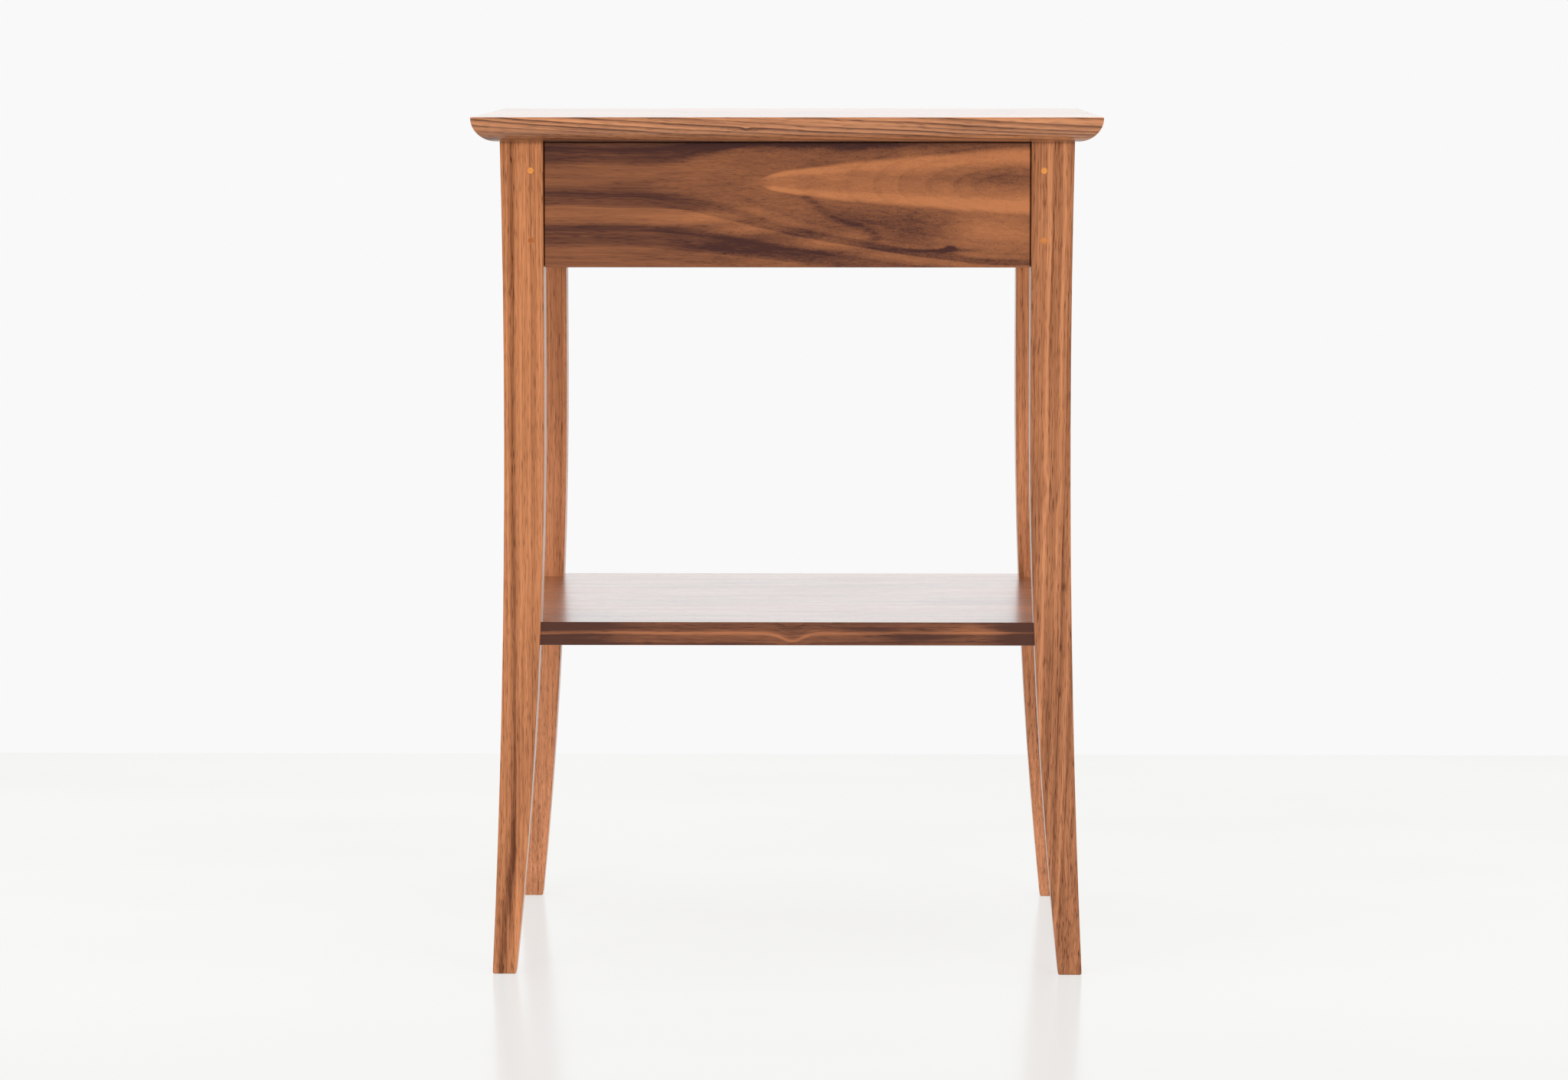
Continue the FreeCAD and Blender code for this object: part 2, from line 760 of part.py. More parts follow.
def front_screw_hole(point):
    return rod(SCREW_RADIUS + FIT, point + Y * PAST, point - Y * (DRAWER_SCREW_LENGTH + FIT))


def drawer_front_screws():
    return [screw(p, p - Y * DRAWER_SCREW_LENGTH) for p in drawer_screw_points()]


# Turning stop


def drawer_stop():
    """Wooden turn button that meets the front apron when the drawer is pulled right out."""
    low, high = STOP_PIVOT_Z - STOP_DOWN, STOP_PIVOT_Z + STOP_UP
    y0, y1 = STOP_Y, STOP_Y + STOP_THICK
    bar = block(-STOP_HALF_WIDTH, STOP_HALF_WIDTH, y0, y1, low, high)
    for z in (low, high):
        bar = bar.fuse(rod(STOP_HALF_WIDTH, V(0, y0, z), V(0, y1, z)))
    bar = round_edges(merged(bar), EDGE, lambda e: e.BoundBox.YMax < y0 + NEAR_ZERO)
    hole = rod(STOP_SCREW_RADIUS + FIT, V(0, y0 - PAST, STOP_PIVOT_Z), V(0, y1 + PAST, STOP_PIVOT_Z))
    return bar.cut(hole)


def stop_screw():
    start = V(0, STOP_Y - STOP_HEAD_GAP, STOP_PIVOT_Z)
    return screw(start, V(0, BOX_END_Y - STOP_SCREW_SHY, STOP_PIVOT_Z), STOP_SCREW_RADIUS)


def sides(name, left):
    """A left piece and its mirror image, as two nodes."""
    return {name + "_left": left, name + "_right": flip_x(left)}


def build():
    parts = {"tabletop": tabletop()}
    four = legs()
    parts.update(four)
    parts["front_apron"] = front_apron()
    parts["back_apron"] = back_apron()
    parts.update(sides("side_apron", side_apron()))
    for face, pegs in all_pegs(PEG_RADIUS, PEG_PROUD, 0).items():
        parts["pegs_" + face] = group(pegs)
    parts["shelf"] = shelf(four.values())
    parts["shelf_dowels"] = group(shelf_dowels(DOWEL_RADIUS, 0))
    parts.update(sides("drawer_runner", slide_rail(*runner_heights())))
    parts.update(sides("drawer_guide", guide()))
    parts.update(sides("drawer_kicker", kicker()))
    parts.update(sides("top_button", top_button()))
    for name, screws in top_screws().items():
        parts[name] = group(screws)
    parts["drawer_front"] = drawer_front()
    parts["drawer_box_front"] = drawer_box_front()
    parts.update(sides("drawer_side", drawer_side()))
    parts["drawer_back"] = drawer_back()
    parts["drawer_bottom"] = drawer_bottom()
    parts["drawer_front_screws"] = group(drawer_front_screws())
    parts["drawer_bottom_screws"] = group([bottom_screw(x) for x in (-1, 1)])
    parts["drawer_stop"] = drawer_stop()
    parts["drawer_stop_screw"] = stop_screw()
    return parts


def main():
    os.makedirs("parts", exist_ok=True)
    for name, shape in build().items():
        if not shape.isValid():
            raise ValueError(name + " is not a valid shape")
        shape.exportStep(os.path.join("parts", name + ".step"))
        print(f"{name}: {len(shape.Solids)} solid(s), {shape.Volume / 1000:.1f} cm3")


main()
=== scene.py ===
"""Looks for the walnut side table: wood that is cut from modelled logs, pegs, screws, studio and camera.

Every board is a cut through a log of its own. A log has a pith line, growth rings round it, colour bands that
follow the rings, fibres and pores along it, so face grain, edge grain and end grain all agree.
"""

import math

import bpy
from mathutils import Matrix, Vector


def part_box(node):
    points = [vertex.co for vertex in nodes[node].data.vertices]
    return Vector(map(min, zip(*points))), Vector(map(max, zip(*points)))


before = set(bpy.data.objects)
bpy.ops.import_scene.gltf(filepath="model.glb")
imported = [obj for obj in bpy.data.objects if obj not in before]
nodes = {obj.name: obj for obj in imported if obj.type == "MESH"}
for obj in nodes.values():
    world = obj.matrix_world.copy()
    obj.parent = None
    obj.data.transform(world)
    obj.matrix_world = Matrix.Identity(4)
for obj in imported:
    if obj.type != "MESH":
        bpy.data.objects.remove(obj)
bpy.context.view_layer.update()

MM = 0.001

# Colours

SHEEN = 0.020  # light that the varnish adds over every colour of the wood
DARKEST = 0.002


def linear(red, green, blue):
    """Scene colour of a display colour given as three values from 0 to 255."""

    def channel(value):
        value /= 255
        return value / 12.92 if value <= 0.04045 else ((value + 0.055) / 1.055) ** 2.4

    return (channel(red), channel(green), channel(blue), 1.0)


def under_varnish(colour):
    """Colour of the bare wood that looks like a display colour once it is varnished."""
    return tuple(max(c - SHEEN, DARKEST) for c in linear(*colour)[:3]) + (1.0,)


# Short calls for building node trees


class Graph:
    """Makes and links the nodes of one tree."""

    def __init__(self, tree):
        self.tree = tree

    def node(self, kind, feeds=None, **settings):
        made = self.tree.nodes.new(kind)
        for key, value in settings.items():
            setattr(made, key, value)
        for key, value in (feeds or {}).items():
            self.feed(made.inputs[key], value)
        return made

    def feed(self, socket, value):
        if isinstance(value, bpy.types.NodeSocket):
            self.tree.links.new(value, socket)
        else:
            socket.default_value = value

    def math(self, operation, first, second=0.0, third=0.0):
        feeds = {0: first, 1: second, 2: third}
        return self.node("ShaderNodeMath", feeds, operation=operation).outputs[0]

    def vector(self, operation, first, second=(0, 0, 0)):
        made = self.node("ShaderNodeVectorMath", {0: first, 1: second}, operation=operation)
        return made.outputs["Value" if operation in ("LENGTH", "DOT_PRODUCT") else "Vector"]

    def join(self, x=0.0, y=0.0, z=0.0):
        return self.node("ShaderNodeCombineXYZ", {"X": x, "Y": y, "Z": z}).outputs[0]

    def split(self, vector):
        return self.node("ShaderNodeSeparateXYZ", {0: vector}).outputs

    def place(self):
        """Position in the row's frame, which every piece keeps while it moves."""
        return self.node("ShaderNodeTexCoord").outputs["Object"]

    def remap(self, value, low, high, to_low=0.0, to_high=1.0, smooth=False):
        feeds = {0: value, 1: low, 2: high, 3: to_low, 4: to_high}
        kind = "SMOOTHSTEP" if smooth else "LINEAR"
        return self.node("ShaderNodeMapRange", feeds, interpolation_type=kind).outputs[0]

    def noise(self, vector, seed, detail=2.0, roughness=0.5):
        feeds = {"Vector": vector, "W": seed, "Scale": 1.0, "Detail": detail, "Roughness": roughness}
        return self.node("ShaderNodeTexNoise", feeds, noise_dimensions="4D").outputs

    def mix(self, share, first, second):
        return self.node("ShaderNodeMix", {0: share, 6: first, 7: second}, data_type="RGBA").outputs[2]

    def ramp(self, value, stops):
        """Greyscale curve through (place, level) stops."""
        made = self.node("ShaderNodeValToRGB", {0: value})
        ramp = made.color_ramp
        ramp.interpolation = "EASE"
        while len(ramp.elements) < len(stops):
            ramp.elements.new(0.5)
        for element, (place, level) in zip(ramp.elements, stops):
            element.position = place
            element.color = (level, level, level, 1)
        return made.outputs[0]


def new_material(name):
    """An empty material and the graph of its nodes."""
    material = bpy.data.materials.new(name)
    material.use_nodes = True
    material.node_tree.nodes.clear()
    return material, Graph(material.node_tree)


def surface(g, settings):
    """Ends a material's graph with a shader."""
    shader = g.node("ShaderNodeBsdfPrincipled", settings)
    g.node("ShaderNodeOutputMaterial", {0: shader.outputs[0]})


# Wood

# Length and width of the wood's features, in metres
BROAD_WAVE = (0.22, 0.045)
FINE_WAVE = (0.05, 0.008)
KNOT_WAVE = (0.03, 0.03)
TONGUE_WAVE = (0.06, 0.02)
CLOUD_SIZE = (0.12, 0.016)
PORE_SIZE = (0.012, 0.0005)
STREAK_WIDTH = 0.0024
FIBRE_WIDTH = 0.0008
BAND_LENGTH = 0.6
YEAR_LENGTH = 0.25

# How far the waves reach, in metres
FINE_REACH = 0.8 * MM
KNOT_REACH = 0.006
TONGUE_REACH = 0.005

# What a noise adds to the log's own seed, so that no two noises are alike
BROAD_SEED = 0
FINE_SEED = 3
BAND_SEED = 7
CLOUD_SEED = 11
RING_SEED = 13
YEAR_SEED = 17
FIBRE_SEED = 19
STREAK_SEED = 21
PORE_SEED = 23
KNOT_SEED = 29
TONGUE_SEED = 31

NOISE_LOW, NOISE_HIGH = 0.3, 0.7  # between these lie most values of a noise
PORE_FROM, PORE_FULL = 0.58, 0.72  # noise values where a pore starts and is at its deepest
YEAR_FROM, YEAR_FULL = 0.3, 0.6  # noise values where a year's line is missing and is at its darkest
RING_SPREAD = 2.4  # how many rings' worth the spacing swings by
RING_END = 0.88  # share of a ring where its dark line starts to fade into the next ring
SEAM = 0.3 * MM  # half the width of a glue line
CORE = 0.3  # size of a knot's dark core, as a share of the knot
TONGUE_LIFT = -0.65  # change of darkness in the tongue
TONGUE_TIP = 15 * MM  # length over which its tip fades in
TONGUE_PROFILE = [(0.0, 0.45), (0.06, 0.5), (0.22, 0.9), (0.36, 0.9), (0.62, 0.0)]  # from its middle outwards
FACE_LINE = 0.4  # strength of the ring lines on a level board's faces, as a share of that on its edges
LEVEL_FROM, LEVEL_FULL = 0.5, 0.95  # upward part of the normal where a face starts to be level, and is level
EDGE_RADIUS = 1.2 * MM  # how far the worn edges and their painted highlight reach
EDGE_FROM, EDGE_FULL = 0.98, 0.75  # agreement of the rounded normal with the true one, on flats and on edges
# Edges are paler and smoother: wear, together with a painted highlight where the rounded edges catch the
# light
EDGE_WEAR_AND_HIGHLIGHT_LIFT = 1.3
EDGE_WEAR_AND_HIGHLIGHT_SHARE = 0.3
EDGE_POLISH = 0.06
ROUGH_LOW, ROUGH_HIGH = 0.30, 0.39
PORE_ROUGH = 0.2
PORE_HEIGHT = -1.0
FIBRE_HEIGHT = 0.3
GRAIN_DEPTH = 0.1 * MM
GRAIN_BUMP = 0.2


class Log:
    """How a board lies in its log, and what that log's wood is like. Lengths are in metres."""

    def __init__(self, pith, grain="X", tilt=(0.0, 0.0), **other):
        self.pith = pith  # a point on the line that the rings lie round
        self.grain = grain  # the row axis that the board's length lies along
        self.tilt = tilt  # degrees that the log is turned from that axis, about the two others
        self.ring = 0.0035
        self.wave = 0.006  # how far the rings waver
        self.seed = 0.0
        self.light = (196, 130, 86)
        self.dark = (104, 66, 54)
        self.band_width = 0.014
        self.band = 0.45  # usual darkness of the colour bands, from 0 to 1
        self.band_swing = 0.6
        self.line = 0.4  # darkness of the line where a ring ends
        self.line_fade = 3.0  # how quickly that line fades towards the pith
        self.cloud = 0.5
        self.streak = 0.6
        self.streak_length = 0.16
        self.fibre = 0.5
        self.fibre_length = 0.05
        self.pore = 0.35
        self.coat = 1.0
        self.edge_coat = None  # coat of a level board's edges, which soak up more varnish than its faces
        self.face_depth = 0.0  # how much darker such a board's faces are than its edges
        self.coat_rough = 0.14
        self.shine = 0.1  # how strongly the wood itself shines under its coat
        self.bands = None  # fixed bands: (radius in millimetres, darkness)
        self.bend = None  # (where along the log the pith starts to bend away, how fast)
        self.knots = ()  # (centre, size, how far it pushes the rings, darkness)
        # Stains hold real marks in the wood and also painted shade: the tabletop's shadow on the drawer
        # front, and the front legs darkening towards the floor
        self.stains_and_shade = ()  # (centre, size, darkness), with less than 0 for a pale patch
        self.tongue = None  # (tip, how fast it opens) of a pale tongue that opens along the row's X axis
        self.stave = None  # (width, start, shift along the log) of boards glued edge to edge
        for name, value in other.items():
            setattr(self, name, value)


# Turns that bring the log's length onto each row axis
GRAIN_TURN = {"X": (0.0, 0.0, 0.0), "Y": (0.0, 0.0, 90.0), "Z": (0.0, -90.0, 0.0)}
# Where the two tilts go among a board's three turns
TILT_SLOT = {"X": (1, 2), "Y": (0, 2), "Z": (0, 1)}


def place_in_log(g, log):
    """Position along and across the log, with the pith as its X axis, and how near a glue line is."""
    place = g.place()
    seam = 0.0
    if log.stave:
        width, start, jump = log.stave
        count = g.math("DIVIDE", g.math("SUBTRACT", g.split(place)[1], start), width)
        number = g.math("FLOOR", count)
        to_seam = g.math("MULTIPLY", g.math("PINGPONG", count, 0.5), width)
        seam = g.remap(to_seam, 0.0, SEAM, 1.0, 0.0)
        shift = g.join(g.math("MULTIPLY", number, jump), g.math("MULTIPLY", number, -width))
        place = g.vector("ADD", place, shift)
    turn = [math.radians(a) for a in GRAIN_TURN[log.grain]]
    for slot, angle in zip(TILT_SLOT[log.grain], log.tilt):
        turn[slot] += math.radians(angle)
    feeds = {"Vector": place, "Location": log.pith, "Rotation": turn}
    in_log = g.node("ShaderNodeMapping", feeds, vector_type="TEXTURE").outputs[0]
    if log.bend:
        start, rate = log.bend
        past = g.math("MAXIMUM", g.math("SUBTRACT", g.split(in_log)[0], start), 0.0)
        drop = g.math("MULTIPLY", g.math("MULTIPLY", past, past), -rate)
        in_log = g.vector("ADD", in_log, g.join(0.0, drop))
    return in_log, seam


def stretched(g, place, size, seed, detail=2.0, roughness=0.5):
    """Noise whose features have this length along the log and width across it."""
    along, across = size
    scaled = g.vector("MULTIPLY", place, (1 / along, 1 / across, 1 / across))
    return g.noise(scaled, seed, detail, roughness)


def swing(g, value, share):
    """A noise value turned into a push of about half of share, up or down."""
    return g.math("MULTIPLY", g.math("SUBTRACT", value, 0.5), share)


def waver(g, place, size, reach, seed):
    """Moves places across the log, as growth does."""
    push = g.vector("SUBTRACT", stretched(g, place, size, seed)["Color"], (0.5, 0.5, 0.5))
    return g.vector("ADD", place, g.vector("MULTIPLY", push, (0, reach, reach)))


def hump(g, place, centre, size):
    """1 at centre, falling to nothing about size away."""
    away = g.vector("DIVIDE", g.vector("SUBTRACT", place, centre), size)
    return g.math("EXPONENT", g.math("MULTIPLY", g.vector("DOT_PRODUCT", away, away), -1.0))


def knots(g, log):
    """Push on the rings, and darkness of the knots, the stains and the painted shade, which are placed in the
    row's frame.
    """
    place = waver(g, g.place(), KNOT_WAVE, KNOT_REACH, log.seed + KNOT_SEED)
    push, dark = 0.0, 0.0
    for centre, size, strength, darkness in log.knots:
        push = g.math("MULTIPLY_ADD", hump(g, place, centre, size), strength, push)
        core = tuple(s * CORE for s in size)
        dark = g.math("MULTIPLY_ADD", hump(g, place, centre, core), darkness, dark)
    for centre, size, darkness in log.stains_and_shade:
        dark = g.math("MULTIPLY_ADD", hump(g, place, centre, size), darkness, dark)
    return push, dark


def tongue(g, log):
    """How pale the wood is in a tongue-shaped figure: palest near its outline, and less so within."""
    tip, opening = log.tongue
    place = waver(g, g.place(), TONGUE_WAVE, TONGUE_REACH, log.seed + TONGUE_SEED)
    across, _, up = g.split(g.vector("SUBTRACT", place, tip))
    reach = g.math("MULTIPLY", g.math("MAXIMUM", across, 0.1 * MM), opening)
    share = g.math("DIVIDE", g.math("MULTIPLY", up, up), reach)
    pale = g.ramp(g.math("MULTIPLY", share, 0.5), TONGUE_PROFILE)
    return g.math("MULTIPLY", pale, g.remap(across, 0.0, TONGUE_TIP, smooth=True))


def edge_share(g):
    """1 on the edges of a board and 0 on its flats."""
    rounded = g.node("ShaderNodeBevel", {"Radius": EDGE_RADIUS}, samples=4).outputs[0]
    true = g.node("ShaderNodeNewGeometry").outputs["True Normal"]
    return g.remap(g.vector("DOT_PRODUCT", rounded, true), EDGE_FROM, EDGE_FULL, smooth=True)


def level_face(g):
    """1 on the upper and lower faces of a level board and 0 on its edges."""
    facing_up = g.math("ABSOLUTE", g.split(g.node("ShaderNodeNewGeometry").outputs["Normal"])[2])
    return g.remap(facing_up, LEVEL_FROM, LEVEL_FULL)


def colour_bands(g, log, radius, along):
    """Broad bands of darker and lighter wood that follow the rings."""
    slow = g.join(g.math("DIVIDE", radius, log.band_width), g.math("DIVIDE", along, BAND_LENGTH))
    drift = g.noise(slow, log.seed + BAND_SEED, roughness=0.55)["Fac"]
    if not log.bands:
        return g.math("ADD", swing(g, drift, log.band_swing * 3), log.band)
    last = log.bands[-1][0]
    stops = [(radius_mm / last, level) for radius_mm, level in log.bands]
    level = g.ramp(g.math("DIVIDE", radius, last * MM), stops)
    return g.math("ADD", level, swing(g, drift, log.band_swing))


def ring_lines(g, log, radius, along):
    """A fine dark line where each ring ends, stronger in some years than in others."""
    slow = g.join(g.math("DIVIDE", radius, log.ring * 4))
    uneven = g.math("MULTIPLY", g.noise(slow, log.seed + RING_SEED, 1.0)["Fac"], RING_SPREAD)
    phase = g.math("FRACT", g.math("ADD", g.math("DIVIDE", radius, log.ring), uneven))
    end = g.remap(phase, 1.0, RING_END, smooth=True)
    line = g.math("MULTIPLY", g.math("POWER", phase, log.line_fade), end)
    years = g.join(g.math("DIVIDE", radius, log.ring * 3), g.math("DIVIDE", along, YEAR_LENGTH))
    strength = g.remap(g.noise(years, log.seed + YEAR_SEED, 1.0)["Fac"], YEAR_FROM, YEAR_FULL)
    return g.math("MULTIPLY", line, strength)


def wood(name, log):
    """Material of a board cut from log."""
    material, g = new_material(name)
    place, seam = place_in_log(g, log)
    push, knot_stain_and_shade_dark = knots(g, log)
    bent = waver(g, place, BROAD_WAVE, log.wave, log.seed + BROAD_SEED)
    bent = waver(g, bent, FINE_WAVE, FINE_REACH, log.seed + FINE_SEED)
    along, left, up = g.split(bent)
    radius = g.math("ADD", g.vector("LENGTH", g.join(0.0, left, up)), push)

    streak_size = (log.streak_length, STREAK_WIDTH)
    fibre_size = (log.fibre_length, FIBRE_WIDTH)
    cloud = stretched(g, bent, CLOUD_SIZE, log.seed + CLOUD_SEED, 3.0)["Fac"]
    streak = stretched(g, bent, streak_size, log.seed + STREAK_SEED, roughness=0.6)["Fac"]
    fibre = stretched(g, bent, fibre_size, log.seed + FIBRE_SEED, roughness=0.6)["Fac"]
    pore = stretched(g, bent, PORE_SIZE, log.seed + PORE_SEED, 0.0)["Fac"]
    pore = g.remap(pore, PORE_FROM, PORE_FULL)

    line, coat, pale, face_depth = log.line, log.coat, 0.0, 0.0
    if log.edge_coat:
        face = level_face(g)
        line = g.remap(face, 0.0, 1.0, log.line, log.line * FACE_LINE)
        coat = g.remap(face, 0.0, 1.0, log.edge_coat, log.coat)
        face_depth = g.math("MULTIPLY", face, log.face_depth)
    if log.tongue:
        pale = g.math("MULTIPLY", tongue(g, log), TONGUE_LIFT)
    depth = colour_bands(g, log, radius, along)
    for layer in (
        g.math("MULTIPLY", ring_lines(g, log, radius, along), line),
        swing(g, cloud, log.cloud),
        swing(g, streak, log.streak),
        swing(g, fibre, log.fibre),
        g.math("MULTIPLY", pore, log.pore),
        knot_stain_and_shade_dark,
        seam,
        pale,
        face_depth,
    ):
        depth = g.math("ADD", depth, layer)

    light = under_varnish(log.light)
    colour = g.mix(g.remap(depth, 0.0, 1.0), light, under_varnish(log.dark))
    edge = edge_share(g)
    # Paler copy of the light colour on the edges: painted highlight together with wear
    worn_and_highlighted_edge = tuple(min(c * EDGE_WEAR_AND_HIGHLIGHT_LIFT, 1) for c in light)
    height = g.math("MULTIPLY_ADD", pore, PORE_HEIGHT, g.math("MULTIPLY", fibre, FIBRE_HEIGHT))
    bump = g.node("ShaderNodeBump", {"Height": height, "Strength": GRAIN_BUMP, "Distance": GRAIN_DEPTH})
    rough = g.remap(cloud, NOISE_LOW, NOISE_HIGH, ROUGH_LOW, ROUGH_HIGH)
    rough = g.math("MULTIPLY_ADD", pore, PORE_ROUGH, rough)
    surface(
        g,
        {
            "Base Color": g.mix(g.math("MULTIPLY", edge, EDGE_WEAR_AND_HIGHLIGHT_SHARE), colour, worn_and_highlighted_edge),
            "Roughness": g.math("SUBTRACT", rough, g.math("MULTIPLY", edge, EDGE_POLISH)),
            "Specular IOR Level": log.shine,
            "Normal": bump.outputs[0],
            "Coat Weight": coat,
            "Coat Roughness": log.coat_rough,
        },
    )
    return material


def finish(thing, material):
    """Makes material the only one of a piece."""
    thing.data.materials.clear()
    thing.data.materials.append(material)


# Boards

FRONT_LOW, FRONT_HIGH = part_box("drawer_front")
TOP_LOW, TOP_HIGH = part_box("tabletop")
SHELF_LOW, SHELF_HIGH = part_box("shelf")
STAVES = 3
OUTSIDE = 4 * MM  # keeps the first and last glue lines off the front and back edges


def staves(low, high, jump):
    """Boards of equal width glued edge to edge: (width, where the first one starts, shift along the log)."""
    return ((high.y - low.y + 2 * OUTSIDE) / STAVES, low.y - OUTSIDE, jump)


def beside(node, x=0.0, y=0.0, z=0.0):
    """A pith point offset from the middle of a node."""
    low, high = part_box(node)
    return tuple((low + high) / 2 + Vector((x, y, z)))


# Fixed colour bands. The drawer front's pith comes forward towards the right, so its rings open out that way
FRONT_BANDS = [
    (0, 0.6),
    (57, 0.58),
    (59.5, 0.85),
    (62.6, 0.88),
    (63.8, 0.5),
    (66, 0.45),
    (68.5, 0.6),
    (71, 0.82),
    (77, 0.82),
    (81, 0.6),
    (110, 0.62),
]
TONGUE_DROP = 31.5  # millimetres from the drawer front's top edge to the middle of the tongue
TONGUE_LEFT = -24  # where the tongue starts
FRONT_PITH_OUT = 58 * MM  # how far the pith lies in front of the board


def on_front(across, below):
    """A point on the drawer front's face, in millimetres from its middle and below its top edge."""
    return (across * MM, FRONT_LOW.y, FRONT_HIGH.z - below * MM)


FRONT_KNOTS = [(on_front(132, 85.5), (0.014, 0.06, 0.005), 0.004, 1.0)]
FRONT_STAINS_AND_SHADE = [
    (on_front(60, 60), (0.045, 0.02, 0.009), 0.12),
    (on_front(98, 64), (0.040, 0.02, 0.010), 0.15),
    (on_front(96, 77), (0.028, 0.02, 0.008), 0.2),
    (on_front(168, 70), (0.040, 0.02, 0.014), -0.35),
    (on_front(132, 87), (0.030, 0.02, 0.0015), 0.35),
    (on_front(-45, 86), (0.060, 0.02, 0.006), 0.25),
    # These two darken the drawer front just under its top edge: painted shadow of the tabletop's overhang
    (on_front(-60, 2), (0.150, 0.02, 0.005), 0.35),
    (on_front(60, 2), (0.080, 0.02, 0.004), 0.25),
    (on_front(-50, 59), (0.030, 0.02, 0.006), -0.3),
    (on_front(-12, 68), (0.024, 0.02, 0.005), -0.25),
    (on_front(28, 77), (0.026, 0.02, 0.005), -0.3),
    (on_front(-60, 67), (0.030, 0.02, 0.004), 0.2),
    (on_front(-10, 77), (0.040, 0.02, 0.004), 0.3),
    (on_front(50, 88), (0.040, 0.02, 0.003), 0.2),
    (on_front(115, 29), (0.055, 0.02, 0.006), 0.18),
    (on_front(172, 27), (0.040, 0.02, 0.012), 0.3),
]
# A thin dark line that runs down from the tongue
LINE_PLACES = [
    (15, 44),
    (20, 49),
    (25, 53),
    (31, 56),
    (37, 60),
    (44, 62),
    (51, 64),
    (58, 66),
    (65, 69),
    (70, 73),
    (72, 78),
]
LINE_SIZE = (0.005, 0.02, 0.0023)
FRONT_STAINS_AND_SHADE += [(on_front(across, below), LINE_SIZE, 0.22) for across, below in LINE_PLACES]

LEG_LEFT = [
    (0, 0.2),
    (123, 0.2),
    (127, 0.65),
    (130.5, 0.2),
    (138, 0.15),
    (143, 0.35),
    (147, 0.2),
    (170, 0.3),
]
LEG_RIGHT = [
    (0, 0.35),
    (50, 0.45),
    (52, 0.05),
    (54, 0.45),
    (57.5, 0.4),
    (59.5, 0.1),
    (62, 0.5),
    (65.5, 0.35),
    (67.5, 0.0),
    (70, 0.4),
    (75, 0.45),
    (90, 0.4),
]
LEG = {
    "streak_length": 0.5,
    "streak": 0.85,
    "fibre_length": 0.09,
    "fibre": 0.85,
    "pore": 0.4,
    "coat": 0.4,
}
# The left foot's dark streak leaves the ring that it lies on above, and follows the sweep of the leg
FOOT_SIZE = (0.3, 0.3, 0.3)
LEFT_FOOT = [
    # Painted shade: the leg darkens towards the floor
    ((-0.240, -0.18, 0.0), FOOT_SIZE, 0.06),
    ((-0.2215, -0.18, 0.0), (0.0038, 0.03, 0.085), -0.55),
    ((-0.2242, -0.18, 0.105), (0.0026, 0.03, 0.030), 0.45),
    ((-0.2275, -0.18, 0.070), (0.0026, 0.03, 0.028), 0.65),
    ((-0.2312, -0.18, 0.035), (0.0026, 0.03, 0.028), 0.65),
    ((-0.2338, -0.18, 0.000), (0.0028, 0.03, 0.028), 0.65),
]
# Painted shade: the leg darkens towards the floor
RIGHT_FOOT = [((0.24, -0.18, 0.0), FOOT_SIZE, 0.06)]

SHELF_PITH_DEPTH = 120 * MM
SHELF_EDGE = (SHELF_LOW.z + SHELF_HIGH.z) / 2
SHELF_BANDS = [
    (0, 0.6),
    (124, 0.7),
    (129, 0.65),
    (130.6, 0.3),
    (131.6, 0.3),
    (133.2, 0.7),
    (139, 0.75),
    (160, 0.6),
]


def on_shelf(across, up):
    """A point on the shelf's front edge, in millimetres from its middle."""
    return (across * MM, SHELF_LOW.y, SHELF_EDGE + up * MM)


# The knot pushes the rings into the arch in the middle of the edge and has no dark core
SHELF_KNOTS = [(on_shelf(4, 0), (0.011, 0.06, 0.03), 0.0065, 0.0)]
SHELF_STAINS = [
    (on_shelf(-196, 0), (0.05, 0.06, 0.05), 0.3),
    (on_shelf(196, 0), (0.03, 0.06, 0.05), 0.35),
    (on_shelf(-165, 1), (0.030, 0.06, 0.02), 0.15),
    (on_shelf(115, 1), (0.035, 0.06, 0.005), 0.25),
    (on_shelf(175, 1), (0.030, 0.06, 0.005), 0.25),
    (on_shelf(60, 4), (0.022, 0.06, 0.003), 0.2),
    (on_shelf(85, 0), (0.022, 0.06, 0.003), 0.2),
    (on_shelf(110, -4), (0.022, 0.06, 0.003), 0.2),
    (on_shelf(150, 4), (0.016, 0.06, 0.003), -0.3),
    (on_shelf(168, 1), (0.016, 0.06, 0.003), -0.4),
]

